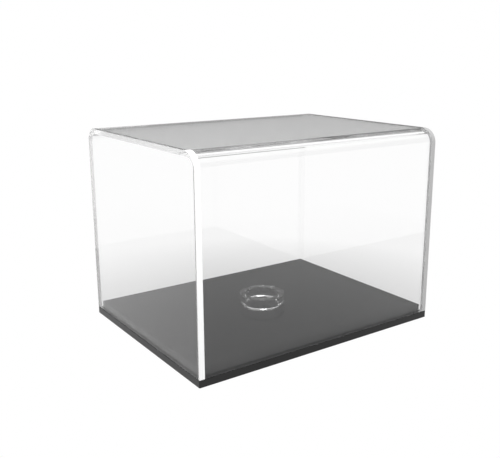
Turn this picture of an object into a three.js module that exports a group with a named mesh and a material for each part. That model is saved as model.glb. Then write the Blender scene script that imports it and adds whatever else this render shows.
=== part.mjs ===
// Display case for a football: a clear lift-off cover on a gloss black plinth, with a clear ring cemented
// on it that cradles the ball. The plinth is two cemented plates: the wider base plate leaves a ledge
// that the cover stands on, and the smaller locating panel stands up inside the cover and centres it.
//
// Millimetres, +Z up. The origin is on the shelf under the middle of the case, the front faces -Y and
// the long side runs along X.

import * as THREE from 'three';

// ---- Driving dimensions ---------------------------------------------------------------------------

const CASE_WIDTH = 305;
const CASE_DEPTH = 235;
const COVER_HEIGHT = 211.5;

const SHEET_THICKNESS = 6;
const BEND_OUTER_RADIUS = 16;

const BASE_PLATE_THICKNESS = 8;
const LOCATING_PANEL_THICKNESS = 8;
const PLATE_ARRIS = 0.5;
const COVER_TO_PANEL_CLEARANCE = 1;

const RING_OUTER_DIAMETER = 51.5;
const RING_WALL = 6.5;
const RING_HEIGHT = 12.7;
const RING_EDGE_RADIUS = 0.8;

const BUMPER_DIAMETER = 10;
const BUMPER_HEIGHT = 2;
const BUMPER_EDGE_RADIUS = 1;
const BUMPER_MARGIN = 11;

// How finely round shapes are divided.
const BEND_SEGMENTS = 12;
const RING_SEGMENTS = 72;
const BUMPER_SEGMENTS = 32;
const EDGE_SEGMENTS = 3;

// ---- Sizes that follow ----------------------------------------------------------------------------

const basePlateBottom = BUMPER_HEIGHT;
const basePlateTop = basePlateBottom + BASE_PLATE_THICKNESS;
const locatingPanelTop = basePlateTop + LOCATING_PANEL_THICKNESS;

// The locating panel fits between the cover's walls with the clearance on every side.
const panelInset = SHEET_THICKNESS + COVER_TO_PANEL_CLEARANCE;
const locatingPanelWidth = CASE_WIDTH - 2 * panelInset;
const locatingPanelDepth = CASE_DEPTH - 2 * panelInset;

// The bent sheet fills the width between the two end panels, which are cemented onto its ends.
const bentSheetWidth = CASE_WIDTH - 2 * SHEET_THICKNESS;
const bendInnerRadius = BEND_OUTER_RADIUS - SHEET_THICKNESS;
const endPanelCentreX = (CASE_WIDTH - SHEET_THICKNESS) / 2;

const bumperInset = BUMPER_MARGIN + BUMPER_DIAMETER / 2;
const bumperCentreX = CASE_WIDTH / 2 - bumperInset;
const bumperCentreY = CASE_DEPTH / 2 - bumperInset;

// ---- Materials ------------------------------------------------------------------------------------

function blackAcrylic() {
  return new THREE.MeshStandardMaterial({ color: 0x0b0b0c, roughness: 0.08, metalness: 0 });
}

function clearAcrylic() {
  return new THREE.MeshStandardMaterial({
    color: 0xf4f7f8,
    roughness: 0.03,
    metalness: 0,
    transparent: true,
    opacity: 0.2,
  });
}

function clearBumperRubber() {
  return new THREE.MeshStandardMaterial({
    color: 0xe4e8e8,
    roughness: 0.35,
    metalness: 0,
    transparent: true,
    opacity: 0.6,
  });
}

// ---- Outlines -------------------------------------------------------------------------------------

// A path that climbs one wall, turns over two bends and comes down the other wall, in the plane of
// depth and height. The outline's bottom is at height 0.
function archPoints(halfDepth, top, radius, steps) {
  const points = [new THREE.Vector2(-halfDepth, 0)];
  const corners = [
    { x: -halfDepth + radius, start: Math.PI },
    { x: halfDepth - radius, start: Math.PI / 2 },
  ];
  for (const corner of corners) {
    for (let i = 0; i <= steps; i += 1) {
      const angle = corner.start - (Math.PI / 2) * (i / steps);
      const x = corner.x + radius * Math.cos(angle);
      const y = top - radius + radius * Math.sin(angle);
      points.push(new THREE.Vector2(x, y));
    }
  }
  points.push(new THREE.Vector2(halfDepth, 0));
  return points;
}

// A closed ring-shaped profile for a lathe: a rectangle with its four corners rounded.
function roundedProfile(innerRadius, outerRadius, bottom, top, edgeRadius) {
  const corners = [
    { x: outerRadius - edgeRadius, y: bottom + edgeRadius, start: -Math.PI / 2 },
    { x: outerRadius - edgeRadius, y: top - edgeRadius, start: 0 },
    { x: innerRadius + edgeRadius, y: top - edgeRadius, start: Math.PI / 2 },
    { x: innerRadius + edgeRadius, y: bottom + edgeRadius, start: Math.PI },
  ];
  const points = [];
  for (const corner of corners) {
    for (let i = 0; i <= EDGE_SEGMENTS; i += 1) {
      const angle = corner.start + (Math.PI / 2) * (i / EDGE_SEGMENTS);
      const x = corner.x + edgeRadius * Math.cos(angle);
      const y = corner.y + edgeRadius * Math.sin(angle);
      points.push(new THREE.Vector2(x, y));
    }
  }
  points.push(points[0].clone());
  return points;
}

// ---- Solids ---------------------------------------------------------------------------------------

// An outline drawn in depth and height, given its thickness along X and centred on X = 0.
function extrudeAlongX(outline, thickness) {
  const geometry = new THREE.ExtrudeGeometry(new THREE.Shape(outline), {
    depth: thickness,
    bevelEnabled: false,
  });
  geometry.translate(0, 0, -thickness / 2);
  geometry.rotateX(Math.PI / 2);
  geometry.rotateZ(Math.PI / 2);
  return geometry;
}

// A flat plate standing on Z = 0, with a small polished bevel along its top and bottom edges.
function arrisedPlate(width, depth, thickness) {
  const outline = new THREE.Shape([
    new THREE.Vector2(-width / 2, -depth / 2),
    new THREE.Vector2(width / 2, -depth / 2),
    new THREE.Vector2(width / 2, depth / 2),
    new THREE.Vector2(-width / 2, depth / 2),
  ]);
  const geometry = new THREE.ExtrudeGeometry(outline, {
    depth: thickness - 2 * PLATE_ARRIS,
    bevelEnabled: true,
    bevelThickness: PLATE_ARRIS,
    bevelSize: PLATE_ARRIS,
    bevelOffset: -PLATE_ARRIS,
    bevelSegments: 1,
  });
  geometry.translate(0, 0, PLATE_ARRIS);
  return geometry;
}

// Lathe profiles turn about Y, so the result is stood up along Z.
function latheAlongZ(profile, segments) {
  const geometry = new THREE.LatheGeometry(profile, segments);
  geometry.rotateX(Math.PI / 2);
  return geometry;
}

function namedMesh(name, geometry, material, x, y, z) {
  const mesh = new THREE.Mesh(geometry, material);
  mesh.name = name;
  mesh.position.set(x, y, z);
  return mesh;
}

// ---- Plinth ---------------------------------------------------------------------------------------

function basePlate() {
  const geometry = arrisedPlate(CASE_WIDTH, CASE_DEPTH, BASE_PLATE_THICKNESS);
  return namedMesh('base_plate', geometry, blackAcrylic(), 0, 0, basePlateBottom);
}

function locatingPanel() {
  const geometry = arrisedPlate(locatingPanelWidth, locatingPanelDepth, LOCATING_PANEL_THICKNESS);
  return namedMesh('locating_panel', geometry, blackAcrylic(), 0, 0, basePlateTop);
}

// A self-adhesive bumper: a low disc with a rounded lower edge, stuck to the base plate by its flat top.
function bumperProfile() {
  const radius = BUMPER_DIAMETER / 2;
  const edgeX = radius - BUMPER_EDGE_RADIUS;
  const points = [new THREE.Vector2(0, 0)];
  for (let i = 0; i <= EDGE_SEGMENTS; i += 1) {
    const angle = -Math.PI / 2 + (Math.PI / 2) * (i / EDGE_SEGMENTS);
    const x = edgeX + BUMPER_EDGE_RADIUS * Math.cos(angle);
    const y = BUMPER_EDGE_RADIUS + BUMPER_EDGE_RADIUS * Math.sin(angle);
    points.push(new THREE.Vector2(x, y));
  }
  points.push(new THREE.Vector2(radius, BUMPER_HEIGHT));
  points.push(new THREE.Vector2(0, BUMPER_HEIGHT));
  return points;
}

function bumpers() {
  const group = new THREE.Group();
  for (const [row, sideY] of [['front', -1], ['back', 1]]) {
    for (const [side, sideX] of [['left', -1], ['right', 1]]) {
      const geometry = latheAlongZ(bumperProfile(), BUMPER_SEGMENTS);
      const x = sideX * bumperCentreX;
      const y = sideY * bumperCentreY;
      group.add(namedMesh(`bumper_${row}_${side}`, geometry, clearBumperRubber(), x, y, 0));
    }
  }
  return group;
}

// ---- Cover ----------------------------------------------------------------------------------------

// One sheet bent over twice: the front wall, the top and the back wall.
function bentSheet() {
  const outer = archPoints(CASE_DEPTH / 2, COVER_HEIGHT, BEND_OUTER_RADIUS, BEND_SEGMENTS);
  const inner = archPoints(
    CASE_DEPTH / 2 - SHEET_THICKNESS,
    COVER_HEIGHT - SHEET_THICKNESS,
    bendInnerRadius,
    BEND_SEGMENTS,
  );
  const geometry = extrudeAlongX(outer.concat(inner.reverse()), bentSheetWidth);
  return namedMesh('cover_front_top_back', geometry, clearAcrylic(), 0, 0, basePlateTop);
}

// A flat panel cemented onto each end of the bent sheet and trimmed flush with its outside.
function endPanel(side, direction) {
  const outline = archPoints(CASE_DEPTH / 2, COVER_HEIGHT, BEND_OUTER_RADIUS, BEND_SEGMENTS);
  const geometry = extrudeAlongX(outline, SHEET_THICKNESS);
  const x = direction * endPanelCentreX;
  return namedMesh(`cover_${side}_end`, geometry, clearAcrylic(), x, 0, basePlateTop);
}

// ---- Ring -----------------------------------------------------------------------------------------

function ballRing() {
  const outerRadius = RING_OUTER_DIAMETER / 2;
  const innerRadius = outerRadius - RING_WALL;
  const profile = roundedProfile(innerRadius, outerRadius, 0, RING_HEIGHT, RING_EDGE_RADIUS);
  const geometry = latheAlongZ(profile, RING_SEGMENTS);
  return namedMesh('ball_ring', geometry, clearAcrylic(), 0, 0, locatingPanelTop);
}

// ---- Assembly -------------------------------------------------------------------------------------

const displayCase = new THREE.Group();
displayCase.add(basePlate(), locatingPanel(), bumpers());
displayCase.add(bentSheet(), endPanel('left', -1), endPanel('right', 1));
displayCase.add(ballRing());

export default displayCase;
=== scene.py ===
# %% [markdown]
# # Football display case
# A clear acrylic cover stands on a gloss black plinth and lifts straight off. Inside, a short piece of
# clear tube holds the ball. Everything here is sheet or tube that was sawn, polished, bent or cemented,
# so the model is about flat faces, clean edges and what light does inside thick clear plastic.
#
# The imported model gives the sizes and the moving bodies. Its box is kept now, because the finished
# pieces have to stay inside it.

import math

import bmesh
import bpy
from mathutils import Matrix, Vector


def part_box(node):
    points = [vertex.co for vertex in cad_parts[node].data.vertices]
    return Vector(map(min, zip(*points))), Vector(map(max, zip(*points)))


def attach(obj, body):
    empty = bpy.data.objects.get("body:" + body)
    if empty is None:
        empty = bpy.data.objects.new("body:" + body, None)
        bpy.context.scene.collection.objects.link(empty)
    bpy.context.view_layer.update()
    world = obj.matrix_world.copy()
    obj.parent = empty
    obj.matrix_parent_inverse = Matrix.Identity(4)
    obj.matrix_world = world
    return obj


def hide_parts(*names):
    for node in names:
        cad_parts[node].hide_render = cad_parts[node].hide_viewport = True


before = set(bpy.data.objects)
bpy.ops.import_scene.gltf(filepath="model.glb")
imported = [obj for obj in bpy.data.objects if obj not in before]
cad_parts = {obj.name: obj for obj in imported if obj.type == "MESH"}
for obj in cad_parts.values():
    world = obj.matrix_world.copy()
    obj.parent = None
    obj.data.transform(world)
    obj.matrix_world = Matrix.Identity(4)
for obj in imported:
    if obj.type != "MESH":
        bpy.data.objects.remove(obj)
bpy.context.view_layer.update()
scene = bpy.context.scene
MM = 0.001

# %% [markdown]
# ## Sizes read from the frame
# Sheet thickness, bend radius and the heights where one piece stands on another are measured from the
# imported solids, so a change to the part carries through to the looks.

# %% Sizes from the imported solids
base_low, base_high = (Vector(corner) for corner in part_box("base_plate"))
sheet_low, sheet_high = (Vector(corner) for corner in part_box("cover_front_top_back"))
end_low, end_high = (Vector(corner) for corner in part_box("cover_left_end"))
ring_low, ring_high = (Vector(corner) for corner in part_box("ball_ring"))

case_width = base_high.x - base_low.x
case_depth = base_high.y - base_low.y
sheet_thickness = end_high.x - end_low.x
FLAT_TOLERANCE = 0.01 * MM


def bend_radius_of(node):
    """Outer radius of the bend: how far below the top the front wall stops being flat."""
    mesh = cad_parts[node].data
    front = min(v.co.y for v in mesh.vertices)
    flat_top = max(v.co.z for v in mesh.vertices if v.co.y < front + FLAT_TOLERANCE)
    return max(v.co.z for v in mesh.vertices) - flat_top


def bore_radius_of(node):
    """Inner radius of a ring that stands on Z: the nearest vertex to its axis."""
    low, high = (Vector(corner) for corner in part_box(node))
    centre = (low + high) / 2
    return min((v.co.xy - centre.xy).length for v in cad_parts[node].data.vertices)


bend_outer_radius = bend_radius_of("cover_left_end")
ring_outer_radius = (ring_high.x - ring_low.x) / 2
ring_inner_radius = bore_radius_of("ball_ring")
print(f"case {case_width:.4f} x {case_depth:.4f} m, sheet {sheet_thickness:.4f} m")
print(f"bend {bend_outer_radius:.4f} m, ring {ring_outer_radius:.4f} / {ring_inner_radius:.4f} m")

# %% [markdown]
# ## Camera
# A 50 mm lens looks down on the near corner from a little above the lid. Its place is given in case
# widths from the near bottom corner of the base plate, and its small shift frames the case slightly
# right of centre.

# %% Camera at the viewing angle
CAMERA_FROM_CORNER = Vector((-0.9568, -1.6699, 1.0019))
CAMERA_AZIMUTH = math.radians(35.52)
CAMERA_PITCH = math.radians(14.17)
CAMERA_SHIFT = (-0.0256, -0.0123)

camera = bpy.data.objects.new("camera", bpy.data.cameras.new("camera"))
scene.collection.objects.link(camera)
camera.location = base_low + CAMERA_FROM_CORNER * case_width
camera.rotation_euler = (math.pi / 2 - CAMERA_PITCH, 0, -CAMERA_AZIMUTH)
camera.data.lens = 50
camera.data.sensor_width = 36
camera.data.shift_x, camera.data.shift_y = CAMERA_SHIFT
camera.data.clip_start = 0.01
scene.camera = camera
print("camera at", [round(v, 4) for v in camera.location])

# %% [markdown]
# ## Mesh helpers
# Each piece is built from a few outlines, and one helper turns its lists of points and faces into an
# object. Weighted normals keep the big flat faces truly flat beside their small rounded edges. That
# matters here: on a mirror-like face a bent normal shows at once.

# %% Object from points and faces
WELD_DISTANCE = 1e-7


def piece_from(name, points, faces, slots):
    """An object from plain lists. slots gives each face its material slot number."""
    mesh = bpy.data.meshes.new(name)
    mesh.from_pydata([tuple(p) for p in points], [], faces)
    mesh.polygons.foreach_set("use_smooth", [True] * len(faces))
    mesh.polygons.foreach_set("material_index", slots)
    shaped = bmesh.new()
    shaped.from_mesh(mesh)
    bmesh.ops.remove_doubles(shaped, verts=shaped.verts, dist=WELD_DISTANCE)
    bmesh.ops.recalc_face_normals(shaped, faces=shaped.faces)
    shaped.to_mesh(mesh)
    open_edges = sum(1 for edge in shaped.edges if len(edge.link_faces) != 2)
    shaped.free()
    piece = bpy.data.objects.new(name, mesh)
    scene.collection.objects.link(piece)
    print(f"{name}: {len(mesh.polygons)} faces, {open_edges} open edges")
    return piece


SHARP_DEGREES = 60
SHEET_SHARP_DEGREES = 50


def even_normals(piece, sharp_degrees=SHARP_DEGREES):
    """Marks real corners sharp and lets the large faces decide the normals round the small ones."""
    piece.data.set_sharp_from_angle(angle=math.radians(sharp_degrees))
    modifier = piece.modifiers.new("even_normals", "WEIGHTED_NORMAL")
    modifier.keep_sharp = True
    modifier.weight = 100


def quarter_turn(start, steps):
    """Directions of a quarter circle from the angle start, anticlockwise."""
    return [
        (math.cos(start + math.pi / 2 * i / steps), math.sin(start + math.pi / 2 * i / steps))
        for i in range(steps + 1)
    ]


# %% [markdown]
# ## Plinth plates
# Two sawn plates of black acrylic. On the real ones the faces stay as cast, the sawn edges are scraped
# and polished, and a fine bevel called an arris takes the sharpness off every edge. A bevelled box would
# do, but stacking outlines gives exact control: each level is the rectangle with small corner arcs, and
# the first and last levels draw in along a quarter circle.

# %% Plate with polished arrises
CAST_SLOT, SAWN_SLOT = 0, 1
ARRIS_STEPS = 4
CORNER_STEPS = 4


def rounded_rectangle(low, high, radius, inset, z):
    """The plate's outline at one level, drawn in by inset."""
    corners = [
        (high.x - radius, low.y + radius, -math.pi / 2),
        (high.x - radius, high.y - radius, 0),
        (low.x + radius, high.y - radius, math.pi / 2),
        (low.x + radius, low.y + radius, math.pi),
    ]
    reach = radius - inset
    return [
        (x + reach * along_x, y + reach * along_y, z)
        for x, y, start in corners
        for along_x, along_y in quarter_turn(start, CORNER_STEPS)
    ]


def arrised_plate(name, node, body, arris, corner_radius):
    """A plate that fills the CAD node's box, with rounded arrises and corners."""
    low, high = (Vector(corner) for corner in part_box(node))
    levels = []
    for out, up in quarter_turn(-math.pi / 2, ARRIS_STEPS):
        levels.append((arris * (1 - out), low.z + arris * (1 + up)))
    for out, up in quarter_turn(0, ARRIS_STEPS):
        levels.append((arris * (1 - out), high.z - arris * (1 - up)))
    points = []
    for inset, z in levels:
        points += rounded_rectangle(low, high, corner_radius, inset, z)
    ring = len(points) // len(levels)
    faces = [tuple(range(ring)), tuple(range(len(points) - ring, len(points)))]
    slots = [CAST_SLOT, CAST_SLOT]
    side_level = ARRIS_STEPS
    for level in range(len(levels) - 1):
        here, there = level * ring, (level + 1) * ring
        for i in range(ring):
            j = (i + 1) % ring
            faces.append((here + i, here + j, there + j, there + i))
            slots.append(SAWN_SLOT if abs(level - side_level) <= 1 else CAST_SLOT)
    plate = piece_from(name, points, faces, slots)
    even_normals(plate)
    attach(plate, body)
    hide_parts(node)
    return plate


BASE_ARRIS, BASE_CORNER = 0.45 * MM, 0.9 * MM
PANEL_EDGE, PANEL_CORNER = 0.4 * MM, 0.8 * MM
base_plate = arrised_plate("black_base_plate", "base_plate", "plinth", BASE_ARRIS, BASE_CORNER)
locating_panel = arrised_plate("black_locating_panel", "locating_panel", "plinth", PANEL_EDGE, PANEL_CORNER)

# %% [markdown]
# ## Cover
# The cover is three pieces of clear sheet. One is heated along two lines and bent into an arch; the end
# panels are cemented onto its ends, then trimmed flush so that they follow the bends. The real cement
# melts the two faces into one another, so light passes the joint as if nothing were there. The pieces
# stay separate here, and the faces that touch get a finish that lets light straight through, apart from
# two upright joints where the cement has stayed milky.
#
# The arch outline is drawn once and used for both, with one extra point just off each bend so that the
# flat walls keep flat normals. Cover and ring start a seating gap above the face they stand on, so that no
# two faces lie in one plane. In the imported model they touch.

# %% Arch outline
BEND_STEPS = 28
BESIDE_BEND = 0.6 * MM
SEATING_GAP = 0.08 * MM
cover_bottom = sheet_low.z + SEATING_GAP


def arch(half_depth, top, radius):
    """Points (y, z) up the front, over both bends and down the back."""
    points = [(-half_depth, cover_bottom), (-half_depth, top - radius - BESIDE_BEND)]
    for back, up in reversed(quarter_turn(math.pi / 2, BEND_STEPS)):
        points.append((-half_depth + radius + radius * back, top - radius + radius * up))
    points.append((-half_depth + radius + BESIDE_BEND, top))
    points.append((half_depth - radius - BESIDE_BEND, top))
    for back, up in reversed(quarter_turn(0, BEND_STEPS)):
        points.append((half_depth - radius + radius * back, top - radius + radius * up))
    points += [(half_depth, top - radius - BESIDE_BEND), (half_depth, cover_bottom)]
    return points


outer_arch = arch(case_depth / 2, sheet_high.z, bend_outer_radius)
inner_arch = arch(
    case_depth / 2 - sheet_thickness,
    sheet_high.z - sheet_thickness,
    bend_outer_radius - sheet_thickness,
)
print("arch points", len(outer_arch))

# %% [markdown]
# The bent sheet joins the outer and inner arches with faces across its thickness. Its two end faces are
# the cemented ones, and its two bottom edges are sawn and polished. Each kind has its own slot.

# %% Bent sheet
FACE_SLOT, EDGE_SLOT, JOINT_SLOT, SEAM_SLOT, MILKY_SLOT = range(5)


def bent_sheet():
    """Front wall, top and back wall in one piece."""
    count = len(outer_arch)
    points = []
    for x in (sheet_low.x, sheet_high.x):
        points += [(x, y, z) for y, z in outer_arch]
        points += [(x, y, z) for y, z in inner_arch]
    far = 2 * count
    faces, slots = [], []
    for i in range(count - 1):
        faces.append((i, i + 1, far + i + 1, far + i))
        faces.append((count + i, count + i + 1, far + count + i + 1, far + count + i))
        slots += [FACE_SLOT, FACE_SLOT]
        for start in (0, far):
            faces.append((start + i, start + i + 1, start + count + i + 1, start + count + i))
            slots.append(JOINT_SLOT)
    for i in (0, count - 1):
        faces.append((i, count + i, far + count + i, far + i))
        slots.append(EDGE_SLOT)
    piece = piece_from("clear_bent_sheet", points, faces, slots)
    even_normals(piece, SHEET_SHARP_DEGREES)
    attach(piece, "cover")
    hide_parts("cover_front_top_back")
    return piece


cover_sheet = bent_sheet()

# %% [markdown]
# An end panel has a flat outer face with a small arris all round, a sawn and polished edge that follows
# the arch, and an inner face in two parts: the strip cemented to the arch and the clear window inside it.
# The edge along the front wall and front bend gets a slot of its own, because that seam is the one that
# shows, and so does the stretch of the strip where the cement is milky.

# %% End panels
PANEL_ARRIS = 0.5 * MM
PANEL_ARRIS_STEPS = 3


def drawn_in(points, amount):
    """The arch outline offset inwards, its bottom end lifted by the same amount."""
    half_depth = case_depth / 2
    radius = bend_outer_radius
    inner = []
    for y, z in points:
        centre_y = max(-half_depth + radius, min(half_depth - radius, y))
        centre_z = min(sheet_high.z - radius, z)
        away = Vector((y - centre_y, z - centre_z))
        scale = (away.length - amount) / away.length
        inner.append((centre_y + away.x * scale, centre_z + away.y * scale))
    for i in (0, -1):
        inner[i] = (inner[i][0], cover_bottom + amount)
    return inner


def run_of(i, count):
    """Which stretch of the arch the step from point i belongs to."""
    wall_and_bend = BEND_STEPS + 3
    if i < wall_and_bend:
        return "front"
    return "back" if i >= count - 1 - wall_and_bend else "top"


def end_panel(name, node, side, milky_run):
    """An end panel. side is -1 on the left, and milky_run is the stretch whose cement is milky."""
    low, high = (Vector(corner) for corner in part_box(node))
    outer_x, inner_x = (low.x, high.x) if side < 0 else (high.x, low.x)
    loops = []
    for i in range(PANEL_ARRIS_STEPS + 1):
        angle = math.pi / 2 * i / PANEL_ARRIS_STEPS
        x = outer_x - side * PANEL_ARRIS * (1 - math.cos(angle))
        loops.append([(x, y, z) for y, z in drawn_in(outer_arch, PANEL_ARRIS * (1 - math.sin(angle)))])
    loops.append([(inner_x, y, z) for y, z in outer_arch])
    loops.append([(inner_x, y, z) for y, z in inner_arch])
    points = [point for loop in loops for point in loop]
    count = len(outer_arch)
    strip = len(loops) - 2
    window = len(loops) - 1
    faces = [tuple(range(count)), tuple(range(window * count, window * count + count))]
    slots = [FACE_SLOT, FACE_SLOT]
    for level in range(window):
        here, there = level * count, (level + 1) * count
        for i in range(count - 1):
            faces.append((here + i, here + i + 1, there + i + 1, there + i))
            run = run_of(i, count)
            if level == strip:
                slots.append(MILKY_SLOT if run == milky_run else JOINT_SLOT)
            else:
                slots.append(SEAM_SLOT if run == "front" else EDGE_SLOT)
        if level < strip - 1:
            faces.append((here + count - 1, here, there, there + count - 1))
            slots.append(EDGE_SLOT)
    # The last face of the bottom edge also meets the strip and the window, so it has six corners.
    here, there, inside = (strip - 1) * count, strip * count, window * count
    last = count - 1
    faces.append((here + last, here, there, inside, inside + last, there + last))
    slots.append(EDGE_SLOT)
    piece = piece_from(name, points, faces, slots)
    even_normals(piece, SHEET_SHARP_DEGREES)
    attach(piece, "cover")
    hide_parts(node)
    return piece


left_end = end_panel("clear_left_end_panel", "cover_left_end", -1, "back")
right_end = end_panel("clear_right_end_panel", "cover_right_end", 1, "front")

# %% [markdown]
# ## Ring and bumpers
# Both are round, so both are outlines turned about a vertical axis. The ring is sawn from tube, its two
# cut faces are polished with a soft edge, and its lower face is cemented to the panel, so it gets the
# joint's finish. A bumper is a moulded drop of clear polyurethane with its glue face against the base
# plate. A screw modifier could turn them, but doing it in the mesh keeps each piece closed. The bumper's
# outline stops just short of the axis, so every face keeps four corners. That leaves a hair-thin hole
# down its middle.

# %% Turned pieces
def turned(name, centre, profile, turns, slots):
    """Turns a closed profile of (radius, z) points about a vertical axis. slots has one entry a side."""
    count = len(profile)
    points = []
    for t in range(turns):
        angle = 2 * math.pi * t / turns
        for radius, z in profile:
            points.append((centre.x + radius * math.cos(angle), centre.y + radius * math.sin(angle), z))
    faces, face_slots = [], []
    for t in range(turns):
        here, there = t * count, (t + 1) % turns * count
        for i in range(count):
            j = (i + 1) % count
            faces.append((here + i, there + i, there + j, here + j))
            face_slots.append(slots[i])
    return piece_from(name, points, faces, face_slots)


RING_TURNS = 144
WALL_SLOT, CUT_SLOT, SEAT_SLOT = range(3)
RING_EDGE = 0.8 * MM
RING_EDGE_STEPS = 5


def ring_profile():
    """The tube's wall as a rectangle with soft corners, and the finish of each of its sides."""
    bottom = ring_low.z + SEATING_GAP
    corners = [
        (ring_outer_radius - RING_EDGE, bottom + RING_EDGE, -math.pi / 2),
        (ring_outer_radius - RING_EDGE, ring_high.z - RING_EDGE, 0),
        (ring_inner_radius + RING_EDGE, ring_high.z - RING_EDGE, math.pi / 2),
        (ring_inner_radius + RING_EDGE, bottom + RING_EDGE, math.pi),
    ]
    profile, slots = [], []
    for number, (radius, z, start) in enumerate(corners):
        for out, up in quarter_turn(start, RING_EDGE_STEPS):
            profile.append((radius + RING_EDGE * out, z + RING_EDGE * up))
            slots.append(WALL_SLOT)
        slots[-1] = (WALL_SLOT, CUT_SLOT, WALL_SLOT, SEAT_SLOT)[number]
    return profile, slots


profile, profile_slots = ring_profile()
ball_ring = turned("clear_ball_ring", (ring_low + ring_high) / 2, profile, RING_TURNS, profile_slots)
even_normals(ball_ring)
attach(ball_ring, "plinth")
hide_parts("ball_ring")

# %% Bumpers
BUMPER_TURNS = 48
BUMPER_STEPS = 8
AXIS_GAP = 0.02 * MM
FOOT_SHARE = 0.55
DOME_SHARE = 0.7


def bumper(node):
    """A moulded bumper: flat glue face, straight skirt, and a soft dome that flattens where it stands."""
    low, high = (Vector(corner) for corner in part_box(node))
    radius = (high.x - low.x) / 2
    height = high.z - low.z
    foot = radius * FOOT_SHARE
    profile = [(AXIS_GAP, high.z), (AXIS_GAP, low.z), (foot, low.z)]
    for i in range(1, BUMPER_STEPS + 1):
        angle = math.pi / 2 * i / BUMPER_STEPS
        rise = height * DOME_SHARE * (1 - math.cos(angle))
        profile.append((foot + (radius - foot) * math.sin(angle), low.z + rise))
    profile.append((radius, high.z))
    piece = turned(f"moulded_{node}", (low + high) / 2, profile, BUMPER_TURNS, [0] * len(profile))
    even_normals(piece)
    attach(piece, "plinth")
    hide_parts(node)
    return piece


bumpers = [bumper(node) for node in sorted(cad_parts) if node.startswith("bumper_")]

# %% [markdown]
# ## Shared effects
# Four effects turn up on more than one finish, so each is a node group with named inputs and outputs.
# Hairlines are the fine scratches that wiping leaves. Specks are dust and lint. Smudges are the faint
# cloudy patches where hands and cloths have been. Saw lines are what the blade leaves on an edge.

# %% Node helpers
def new_group(name, inputs, outputs):
    """An empty shader node group. inputs maps a name to its usual value, outputs is a list of names."""
    group = bpy.data.node_groups.new(name, "ShaderNodeTree")
    for label, value in inputs.items():
        socket = group.interface.new_socket(label, in_out="INPUT", socket_type="NodeSocketFloat")
        socket.default_value = value
    for label in outputs:
        group.interface.new_socket(label, in_out="OUTPUT", socket_type="NodeSocketFloat")
    entry = group.nodes.new("NodeGroupInput")
    leave = group.nodes.new("NodeGroupOutput")
    return group, entry, leave


def fill(tree, socket, value):
    """Gives a socket a value, or a link when the value is another node's socket."""
    if isinstance(value, bpy.types.NodeSocket):
        tree.links.new(value, socket)
    else:
        socket.default_value = value


def add_node(tree, kind, settings=None, **inputs):
    """A node with its settings and inputs filled in. An underscore in an input's name is a space."""
    node = tree.nodes.new(kind)
    for key, value in (settings or {}).items():
        setattr(node, key, value)
    for label, value in inputs.items():
        fill(tree, node.inputs[label.replace("_", " ")], value)
    return node


def math_node(tree, operation, *values, clamp=False):
    """A math node's result. Each value is a number or a socket."""
    node = add_node(tree, "ShaderNodeMath", {"operation": operation, "use_clamp": clamp})
    for socket, value in zip(node.inputs, values):
        fill(tree, socket, value)
    return node.outputs[0]


def ramp_between(tree, value, low, high, to_low=0.0, to_high=1.0):
    """Maps low..high smoothly to to_low..to_high."""
    limits = {"From_Min": low, "From_Max": high, "To_Min": to_low, "To_Max": to_high}
    smooth = {"interpolation_type": "SMOOTHSTEP"}
    return add_node(tree, "ShaderNodeMapRange", smooth, Value=value, **limits).outputs["Result"]


def object_place(tree):
    """Where a point is on its own object, so an effect moves with the piece."""
    return tree.nodes.new("ShaderNodeTexCoord").outputs["Object"]


def print_group(group):
    """Prints a group's name and its sockets."""
    print(group.name, [item.name for item in group.interface.items_tree])


# %% [markdown]
# Hairlines are noise stretched sixty to a hundred times along one direction, cut to its thinnest crests.
# Two layers cross at an angle, because a hand wipes in arcs, and broad noise decides where they show.

# %% Hairline scratches
SCRATCH_LEAN = (0.15, 0.1)
SCRATCH_LAYERS = ((0.35, (26.0, 2600.0, 900.0)), (-0.9, (1900.0, 31.0, 700.0)))
CREST_START, CREST_FULL = 0.66, 0.72
WIPED_START, WIPED_FULL = 0.42, 0.68


def hairlines_group():
    """Mask is 1 on a scratch. Height is the same mask turned down into the surface."""
    group, entry, leave = new_group(
        "hairline scratches", {"Scale": 1.0, "Amount": 0.3}, ["Mask", "Height"]
    )
    place = object_place(group)
    layers = []
    for turn, stretch in SCRATCH_LAYERS:
        mapping = add_node(group, "ShaderNodeMapping", Vector=place)
        mapping.inputs["Rotation"].default_value = (*SCRATCH_LEAN, turn)
        mapping.inputs["Scale"].default_value = stretch
        lines = add_node(group, "ShaderNodeTexNoise", Vector=mapping.outputs[0], Detail=2.0, Roughness=0.55)
        group.links.new(entry.outputs["Scale"], lines.inputs["Scale"])
        layers.append(ramp_between(group, lines.outputs["Fac"], CREST_START, CREST_FULL))
    crossed = math_node(group, "MAXIMUM", *layers)
    where = add_node(group, "ShaderNodeTexNoise", Vector=place, Scale=14.0, Detail=1.0)
    patches = ramp_between(group, where.outputs["Fac"], WIPED_START, WIPED_FULL)
    mask = math_node(group, "MULTIPLY", crossed, patches)
    mask = math_node(group, "MULTIPLY", mask, entry.outputs["Amount"], clamp=True)
    group.links.new(mask, leave.inputs["Mask"])
    group.links.new(math_node(group, "MULTIPLY", mask, -1.0), leave.inputs["Height"])
    return group


hairlines = hairlines_group()
print_group(hairlines)

# %% [markdown]
# Specks are small cells of a Voronoi pattern. Only a few cells are kept, by their random colour, and a
# second, larger set gives the odd bit of lint.

# %% Dust specks
SPECK_SETS = ((1.0, 0.24), (0.45, 0.16))
SPECK_CORE = 0.55


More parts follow.
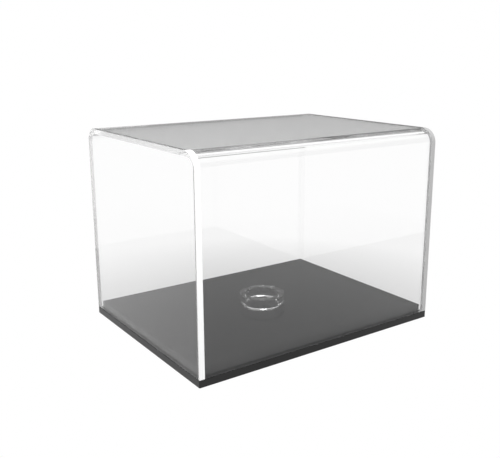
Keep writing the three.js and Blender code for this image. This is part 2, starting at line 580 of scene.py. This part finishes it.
def specks_group():
    """Mask is 1 in the middle of a speck. Each set has its cell scale and the size of its dots."""
    group, entry, leave = new_group("dust specks", {"Scale": 900.0, "Share": 0.06}, ["Mask"])
    place = object_place(group)
    found = []
    for coarser, size in SPECK_SETS:
        cells = add_node(group, "ShaderNodeTexVoronoi", Vector=place)
        cell_scale = math_node(group, "MULTIPLY", entry.outputs["Scale"], coarser)
        group.links.new(cell_scale, cells.inputs["Scale"])
        dot = ramp_between(group, cells.outputs["Distance"], size, size * SPECK_CORE)
        pick = add_node(group, "ShaderNodeSeparateColor", Color=cells.outputs["Color"])
        kept = math_node(group, "LESS_THAN", pick.outputs[0], entry.outputs["Share"])
        found.append(math_node(group, "MULTIPLY", dot, kept))
    group.links.new(math_node(group, "MAXIMUM", *found), leave.inputs["Mask"])
    return group


specks = specks_group()
print_group(specks)

# %% [markdown]
# Smudges are slow noise with soft edges. They only ever change roughness, and by very little, because a
# polished face is still a mirror where it has been touched.

# %% Handling smudges
NO_COVER, COVER_SPAN, SMUDGE_EDGE = 0.9, 0.6, 0.22


def smudges_group():
    """Mask grows as Cover lowers the height at which the noise starts to count."""
    group, entry, leave = new_group("handling smudges", {"Scale": 9.0, "Cover": 0.5}, ["Mask"])
    place = object_place(group)
    broad = add_node(group, "ShaderNodeTexNoise", Vector=place, Detail=3.0, Roughness=0.6, Distortion=0.8)
    group.links.new(entry.outputs["Scale"], broad.inputs["Scale"])
    lowered = math_node(group, "MULTIPLY", entry.outputs["Cover"], COVER_SPAN)
    start = math_node(group, "SUBTRACT", NO_COVER, lowered)
    stop = math_node(group, "ADD", start, SMUDGE_EDGE)
    cloud = ramp_between(group, broad.outputs["Fac"], start, stop)
    group.links.new(cloud, leave.inputs["Mask"])
    return group


smudges = smudges_group()
print_group(smudges)

# %% [markdown]
# Sawn and polished edges keep a trace of the blade: fine lines across the thickness, about half a
# millimetre apart, nearly buffed away.

# %% Saw lines
BLADE_LEAN = 0.08
LINE_STRETCH = 0.08
LEFT_START, LEFT_FULL = 0.35, 0.7
GROOVE_START, GROOVE_FULL = 0.45, 0.65


def saw_lines_group():
    """Mask is highest in a groove that the buffing left. Height is the same mask turned down."""
    group, entry, leave = new_group("saw lines", {"Spacing mm": 0.6, "Depth": 0.4}, ["Mask", "Height"])
    place = object_place(group)
    mapping = add_node(group, "ShaderNodeMapping", Vector=place)
    mapping.inputs["Rotation"].default_value = (0.0, BLADE_LEAN, 0.0)
    mapping.inputs["Scale"].default_value = (1.0, 1.0, LINE_STRETCH)
    per_metre = math_node(group, "DIVIDE", 1000.0, entry.outputs["Spacing mm"])
    grooves = add_node(group, "ShaderNodeTexNoise", Vector=mapping.outputs[0], Detail=2.0, Roughness=0.7)
    group.links.new(per_metre, grooves.inputs["Scale"])
    worn = add_node(group, "ShaderNodeTexNoise", Vector=place, Scale=22.0, Detail=2.0)
    left = ramp_between(group, worn.outputs["Fac"], LEFT_START, LEFT_FULL)
    lines = ramp_between(group, grooves.outputs["Fac"], GROOVE_START, GROOVE_FULL)
    kept = math_node(group, "MULTIPLY", lines, left)
    mask = math_node(group, "MULTIPLY", kept, entry.outputs["Depth"])
    group.links.new(mask, leave.inputs["Mask"])
    group.links.new(math_node(group, "MULTIPLY", mask, -1.0), leave.inputs["Height"])
    return group


saw_lines = saw_lines_group()
print_group(saw_lines)

# %% [markdown]
# ## Finishes
# Every finish starts from one Principled shader. The masks of the shared effects then tint it, roughen it
# or bend its surface, each by a small amount that has a name.

# %% Material helpers
ACRYLIC_IOR = 1.49
MARK_DEPTH = 0.02 * MM


def new_material(name):
    """A material with one Principled shader."""
    material = bpy.data.materials.new(name)
    material.use_nodes = True
    tree = material.node_tree
    tree.nodes.clear()
    output = tree.nodes.new("ShaderNodeOutputMaterial")
    shader = tree.nodes.new("ShaderNodeBsdfPrincipled")
    tree.links.new(shader.outputs[0], output.inputs["Surface"])
    return material, tree, shader


def use_group(tree, group, **values):
    """Places a shared effect in a material with its own values."""
    node = tree.nodes.new("ShaderNodeGroup")
    node.node_tree = group
    for label, value in values.items():
        node.inputs[label.replace("_", " ")].default_value = value
    return node


def tint_by(tree, shader, mask, plain, marked):
    """Colours the shader plain, and marked where the mask is full."""
    tint = add_node(tree, "ShaderNodeMix", {"data_type": "RGBA"})
    tree.links.new(mask, tint.inputs["Factor"])
    tint.inputs["A"].default_value = plain
    tint.inputs["B"].default_value = marked
    tree.links.new(tint.outputs["Result"], shader.inputs["Base Color"])


def roughen(tree, shader, clean, *marks):
    """Makes the shader as rough as clean says, plus an amount where each mask is full."""
    rough = clean
    for mask, amount in marks:
        rough = math_node(tree, "MULTIPLY_ADD", mask, amount, rough)
    tree.links.new(rough, shader.inputs["Roughness"])


def bump_from(tree, shader, height, strength, distance):
    """Bends the shader's normal by a height."""
    bump = add_node(tree, "ShaderNodeBump", Height=height, Strength=strength, Distance=distance)
    tree.links.new(bump.outputs["Normal"], shader.inputs["Normal"])


# %% [markdown]
# ## Black acrylic
# Cast black acrylic is coloured right through and polished like glass. Almost all of its brightness is
# reflection, so the base colour stays close to black and the interest is in the gloss: hairlines and
# smudges dull it slightly, and a little dust sits on top.

# %% Gloss black faces and edges
CAST_BLACK = (0.0055, 0.0055, 0.006, 1)
SETTLED_DUST = (0.16, 0.155, 0.15, 1)
# Painted shade: the sawn edge is coloured darker than the cast face, in place of the shaded floor it
# mirrors.
SAWN_BLACK_WITH_PAINTED_SHADE = (0.002, 0.002, 0.002, 1)
SAWN_LINE = (0.007, 0.007, 0.007, 1)
SMUDGE_DULLS, SCRATCH_DULLS, DUST_DULLS, SAW_DULLS = 0.02, 0.12, 0.5, 0.14
SCRATCH_BUMP, SAW_BUMP = 0.12, 0.2


def black_face(name, gloss, dust_share, smudge_cover):
    """The cast face of black acrylic. gloss is its roughness where it is clean."""
    material, tree, shader = new_material(name)
    shader.inputs["IOR"].default_value = ACRYLIC_IOR
    scratch = use_group(tree, hairlines, Scale=1.0, Amount=0.5)
    dust = use_group(tree, specks, Scale=700.0, Share=dust_share)
    touch = use_group(tree, smudges, Scale=11.0, Cover=smudge_cover)
    tint_by(tree, shader, dust.outputs["Mask"], CAST_BLACK, SETTLED_DUST)
    smudged = (touch.outputs["Mask"], SMUDGE_DULLS)
    scratched = (scratch.outputs["Mask"], SCRATCH_DULLS)
    dusty = (dust.outputs["Mask"], DUST_DULLS)
    roughen(tree, shader, gloss, smudged, scratched, dusty)
    bump_from(tree, shader, scratch.outputs["Height"], SCRATCH_BUMP, MARK_DEPTH)
    return material


def black_edge(name, polish):
    """The sawn edge of black acrylic, scraped and buffed to a slightly softer shine than the face. Its
    colour is painted darker than the face as painted shade.
    """
    material, tree, shader = new_material(name)
    shader.inputs["IOR"].default_value = ACRYLIC_IOR
    cut = use_group(tree, saw_lines, Spacing_mm=0.7, Depth=0.6)
    scratch = use_group(tree, hairlines, Scale=1.6, Amount=0.4)
    tint_by(tree, shader, cut.outputs["Mask"], SAWN_BLACK_WITH_PAINTED_SHADE, SAWN_LINE)
    lined = (cut.outputs["Mask"], SAW_DULLS)
    scratched = (scratch.outputs["Mask"], SCRATCH_DULLS)
    roughen(tree, shader, polish, lined, scratched)
    bump_from(tree, shader, cut.outputs["Height"], SAW_BUMP, MARK_DEPTH)
    return material


base_face = black_face("gloss black base face", 0.008, 0.008, 0.4)
panel_face = black_face("gloss black panel face", 0.004, 0.006, 0.35)
plate_edge = black_edge("buffed black edge", 0.13)
for plate, face in ((base_plate, base_face), (locating_panel, panel_face)):
    plate.data.materials.append(face)
    plate.data.materials.append(plate_edge)
print("black finishes", [base_face.name, panel_face.name, plate_edge.name])

# %% [markdown]
# ## Clear acrylic
# The faces are clean, flat and colourless. Long, shallow waves in the surface, left by casting, are what
# tells acrylic from glass in a reflection, so a very slow bump is added under the hairlines. The sawn
# edges are buffed but not perfect, so their saw lines are added to the same bump.

# %% Clear faces and edges
CLEAR_TINT = (0.99, 0.99, 0.99, 1)
CLEAR_SMUDGE_DULLS, CLEAR_SCRATCH_DULLS = 0.012, 0.05
WAVE_SCALE, WAVE_BUMP, WAVE_DEPTH = 6.0, 0.25, 0.06 * MM
MARK_SHARE = 0.02


def clear_acrylic(name, gloss, edge_depth):
    """Clear sheet or tube. gloss is its roughness where clean, edge_depth how far the saw shows."""
    material, tree, shader = new_material(name)
    shader.inputs["Base Color"].default_value = CLEAR_TINT
    shader.inputs["IOR"].default_value = ACRYLIC_IOR
    shader.inputs["Transmission Weight"].default_value = 1.0
    scratch = use_group(tree, hairlines, Scale=1.0, Amount=0.35)
    touch = use_group(tree, smudges, Scale=8.0, Cover=0.35)
    smudged = (touch.outputs["Mask"], CLEAR_SMUDGE_DULLS)
    scratched = (scratch.outputs["Mask"], CLEAR_SCRATCH_DULLS)
    roughen(tree, shader, gloss, smudged, scratched)
    waves = add_node(tree, "ShaderNodeTexNoise", Vector=object_place(tree), Scale=WAVE_SCALE, Detail=0.0)
    marks = [scratch.outputs["Height"]]
    if edge_depth:
        cut = use_group(tree, saw_lines, Spacing_mm=0.5, Depth=edge_depth)
        marks.append(cut.outputs["Height"])
    height = waves.outputs["Fac"]
    for mark in marks:
        height = math_node(tree, "MULTIPLY_ADD", mark, MARK_SHARE, height)
    bump_from(tree, shader, height, WAVE_BUMP, WAVE_DEPTH)
    return material


clear_face = clear_acrylic("clear acrylic face", 0.0, 0.0)
clear_edge = clear_acrylic("clear acrylic buffed edge", 0.01, 0.5)
ring_wall = clear_acrylic("clear tube wall", 0.0, 0.0)
ring_cut = clear_acrylic("clear tube cut face", 0.02, 0.6)
print("clear finishes", [clear_face.name, clear_edge.name, ring_wall.name, ring_cut.name])

# %% [markdown]
# ## Cement
# Solvent cement leaves three kinds of face. Most joints are clear: the faces are fully see-through apart
# from tiny bubbles. Where air got in, the joint is milky: the left panel's along the back wall and the
# right panel's along the front wall, each with its bend. The seams round the front are scraped flush and
# scatter light. The left one is white; the right one is the same seam painted grey, as painted shade.

# %% Cemented joints and scraped seams
JOINT_ROUGHNESS, BUBBLE_HAZE = 0.6, 0.1
SEAM_ROUGHNESS, SEAM_MARK_DULLS, SEAM_MARK_GREY = 0.45, 0.1, 0.94


def cemented_joint(name, haze, grey):
    """Where two pieces are melted together: light goes straight on, apart from haze and tiny bubbles."""
    material, tree, shader = new_material(name)
    shader.inputs["Base Color"].default_value = (grey, grey, grey, 1)
    shader.inputs["Roughness"].default_value = JOINT_ROUGHNESS
    bubbles = use_group(tree, specks, Scale=650.0, Share=0.012)
    alpha = math_node(tree, "MULTIPLY_ADD", bubbles.outputs["Mask"], BUBBLE_HAZE, haze, clamp=True)
    tree.links.new(alpha, shader.inputs["Alpha"])
    return material


def seam_finish(name, grey):
    """A seam filled with cement and scraped flush: it scatters light, so it reads as a solid strip."""
    material, tree, shader = new_material(name)
    shader.inputs["IOR"].default_value = ACRYLIC_IOR
    cut = use_group(tree, saw_lines, Spacing_mm=0.6, Depth=1.0)
    dust = use_group(tree, specks, Scale=900.0, Share=0.02)
    marks = math_node(tree, "MAXIMUM", cut.outputs["Mask"], dust.outputs["Mask"])
    marked = grey * SEAM_MARK_GREY
    tint_by(tree, shader, marks, (grey, grey, grey, 1), (marked, marked, marked, 1))
    roughen(tree, shader, SEAM_ROUGHNESS, (marks, SEAM_MARK_DULLS))
    bump_from(tree, shader, cut.outputs["Height"], SAW_BUMP, MARK_DEPTH)
    return material


clear_joint = cemented_joint("clear cemented joint", 0.0, 0.9)
left_milky = cemented_joint("left milky joint", 0.6, 0.96)
right_milky = cemented_joint("right milky joint", 0.95, 0.9)
left_seam = seam_finish("white front seam", 0.95)
# Painted shade: the right seam is the same seam as the left, coloured grey to look shaded.
right_seam_painted_shade = seam_finish("grey front seam with painted shade", 0.44)
cement = (clear_joint, left_milky, right_milky, left_seam, right_seam_painted_shade)
print("cement", [material.name for material in cement])

# %% [markdown]
# The finishes go on in the order of the slot numbers. An end panel's last two are its own seam and its
# own milky joint.

# %% Clear pieces get their finishes
sheet_finishes = (clear_face, clear_edge, clear_joint)
cover_finishes = {
    cover_sheet: sheet_finishes,
    left_end: sheet_finishes + (left_seam, left_milky),
    right_end: sheet_finishes + (right_seam_painted_shade, right_milky),
}
for piece, finishes in cover_finishes.items():
    for material in finishes:
        piece.data.materials.append(material)
    print(piece.name, [material.name for material in piece.data.materials])

for material in (ring_wall, ring_cut, clear_joint):
    ball_ring.data.materials.append(material)
print(ball_ring.name, [material.name for material in ball_ring.data.materials])

# %% [markdown]
# ## Bumpers
# Clear polyurethane is soft and slightly milky, so it gets some roughness and dust sticks to it.

# %% Polyurethane
SOFT_IOR = 1.5
SOFT_CLEAR = (0.86, 0.88, 0.87, 1)
STUCK_DUST = (0.45, 0.43, 0.4, 1)
SOFT_ROUGHNESS, STUCK_DUST_DULLS = 0.28, 0.3


def polyurethane(name):
    """Soft clear plastic with dust stuck to it."""
    material, tree, shader = new_material(name)
    shader.inputs["IOR"].default_value = SOFT_IOR
    shader.inputs["Transmission Weight"].default_value = 0.75
    dust = use_group(tree, specks, Scale=1500.0, Share=0.12)
    tint_by(tree, shader, dust.outputs["Mask"], SOFT_CLEAR, STUCK_DUST)
    roughen(tree, shader, SOFT_ROUGHNESS, (dust.outputs["Mask"], STUCK_DUST_DULLS))
    return material


bumper_finish = polyurethane("clear polyurethane")
for piece in bumpers:
    piece.data.materials.append(bumper_finish)
print(bumper_finish.name, "on", len(bumpers), "bumpers")

# %% [markdown]
# ## Stage
# A white floor in a plain grey room with a bright ceiling. Clear plastic shows its surroundings, so they
# are kept as simple as they can be: the walls of the case show the white floor behind them, the lid and
# the black panel mirror the grey walls of the room, and the bends carry the ceiling as a light band. The
# floor and the room give off their own light, so the case casts no shadow on them. Close to the case the
# floor is painted darker, a painted shade in place of the soft shadow of the base. Just above the horizon
# its white fades into the walls, so no hard line shows through the case. The camera itself sees floor and
# room as clean white, as on a cut-out product picture.

# %% White to the camera
def white_to_camera(tree, color):
    """The given colour, except that the camera sees white."""
    path = tree.nodes.new("ShaderNodeLightPath")
    seen = add_node(tree, "ShaderNodeMix", {"data_type": "RGBA"})
    tree.links.new(path.outputs["Is Camera Ray"], seen.inputs["Factor"])
    tree.links.new(color, seen.inputs["A"])
    seen.inputs["B"].default_value = (1, 1, 1, 1)
    return seen.outputs["Result"]


# %% Floor
FLOOR_REACH = 40.0
FLOOR_BELOW = 0.2 * MM
FLOOR_WHITE = 1.0
FLOOR_SHADE = 0.65
SHADE_START = 0.10
SHADE_END = 0.36

floor_mesh = bpy.data.meshes.new("floor")
corners = [(-1, -1), (1, -1), (1, 1), (-1, 1)]
spread = [(x * FLOOR_REACH, y * FLOOR_REACH, -FLOOR_BELOW) for x, y in corners]
floor_mesh.from_pydata(spread, [], [(0, 1, 2, 3)])
floor = bpy.data.objects.new("floor", floor_mesh)
scene.collection.objects.link(floor)


def floor_paper():
    """White paper that gives off its own even light, with a painted shade close to the base."""
    material = bpy.data.materials.new("white paper floor")
    material.use_nodes = True
    tree = material.node_tree
    tree.nodes.clear()
    output = tree.nodes.new("ShaderNodeOutputMaterial")
    away = add_node(tree, "ShaderNodeVectorMath", {"operation": "LENGTH"}, Vector=object_place(tree))
    # Painted shade: the floor's glow is lowered close to the base in place of its soft shadow.
    limits = {"From_Min": SHADE_START, "From_Max": SHADE_END, "To_Min": FLOOR_SHADE, "To_Max": FLOOR_WHITE}
    shade = add_node(tree, "ShaderNodeMapRange", Value=away.outputs["Value"], **limits)
    glow = tree.nodes.new("ShaderNodeEmission")
    tree.links.new(white_to_camera(tree, shade.outputs["Result"]), glow.inputs["Color"])
    tree.links.new(glow.outputs[0], output.inputs["Surface"])
    return material


floor.data.materials.append(floor_paper())
print("floor brightness", FLOOR_SHADE, "beside the base to", FLOOR_WHITE)

# %% Grey room with a bright ceiling
ROOM_GREY = 0.33
CEILING_WHITE = 1.1
FAR_END_ANGLE = 2
WALL_FOOT_ANGLE = 5
WALL_TOP_ANGLE = 28
CEILING_ANGLE = 34


def studio_room():
    """By degrees above the horizon: the floor's white far end, grey walls, then a bright ceiling."""
    world = bpy.data.worlds.new("studio")
    scene.world = world
    world.use_nodes = True
    tree = world.node_tree
    direction = tree.nodes.new("ShaderNodeTexCoord").outputs["Generated"]
    parts = add_node(tree, "ShaderNodeSeparateXYZ", Vector=direction)
    rise = math_node(tree, "DEGREES", math_node(tree, "ARCSINE", parts.outputs["Z"]))
    far_end = ramp_between(tree, rise, FAR_END_ANGLE, WALL_FOOT_ANGLE, FLOOR_WHITE, ROOM_GREY)
    ceiling = ramp_between(tree, rise, WALL_TOP_ANGLE, CEILING_ANGLE, ROOM_GREY, CEILING_WHITE)
    room = math_node(tree, "MAXIMUM", far_end, ceiling)
    tree.links.new(white_to_camera(tree, room), tree.nodes["Background"].inputs["Color"])


studio_room()
print("room brightness", ROOM_GREY, "ceiling", CEILING_WHITE)

# %% [markdown]
# ## Softboxes
# Two large soft lights, both too high to be mirrored in the lid or the panel from a low viewpoint. The
# key stands in front and lights the scraped seams. The back light is what makes clear things read: it
# catches the bends and the rims of the ring.

# %% Softboxes
def softbox(name, place, width, brightness):
    """A square soft light aimed at the case. Its power is worked out from how bright it looks."""
    light = bpy.data.lights.new(name, "AREA")
    light.shape = "SQUARE"
    light.size = width
    light.energy = brightness * math.pi * width * width
    lamp = bpy.data.objects.new(name, light)
    scene.collection.objects.link(lamp)
    lamp.location = place
    lamp.rotation_mode = "QUATERNION"
    lamp.rotation_quaternion = (-Vector(place)).to_track_quat("-Z", "Y")
    print(name, "at", place, "gives", round(light.energy, 1), "W")


softbox("key_softbox", (-0.5, -1.2, 2.2), 1.4, 6.0)
softbox("back_softbox", (0.3, 1.6, 1.6), 1.1, 1.5)

# %% [markdown]
# ## View settings
# The Standard view keeps white paper white. Light guided along the inside of the sheet is mirrored dozens
# of times before it leaves, so its path may be long. Only dust, cement and the bumpers scatter light, so
# three diffuse bounces are enough.

# %% View settings
GUIDED_BOUNCES = 96
DIFFUSE_BOUNCES = 3
scene.view_settings.view_transform = "Standard"
scene.view_settings.look = "None"
scene.cycles.use_denoising = True
scene.cycles.max_bounces = GUIDED_BOUNCES
scene.cycles.glossy_bounces = GUIDED_BOUNCES
scene.cycles.transmission_bounces = GUIDED_BOUNCES
scene.cycles.transparent_max_bounces = GUIDED_BOUNCES
scene.cycles.diffuse_bounces = DIFFUSE_BOUNCES
print("view", scene.view_settings.view_transform, "bounces", GUIDED_BOUNCES, "diffuse", DIFFUSE_BOUNCES)
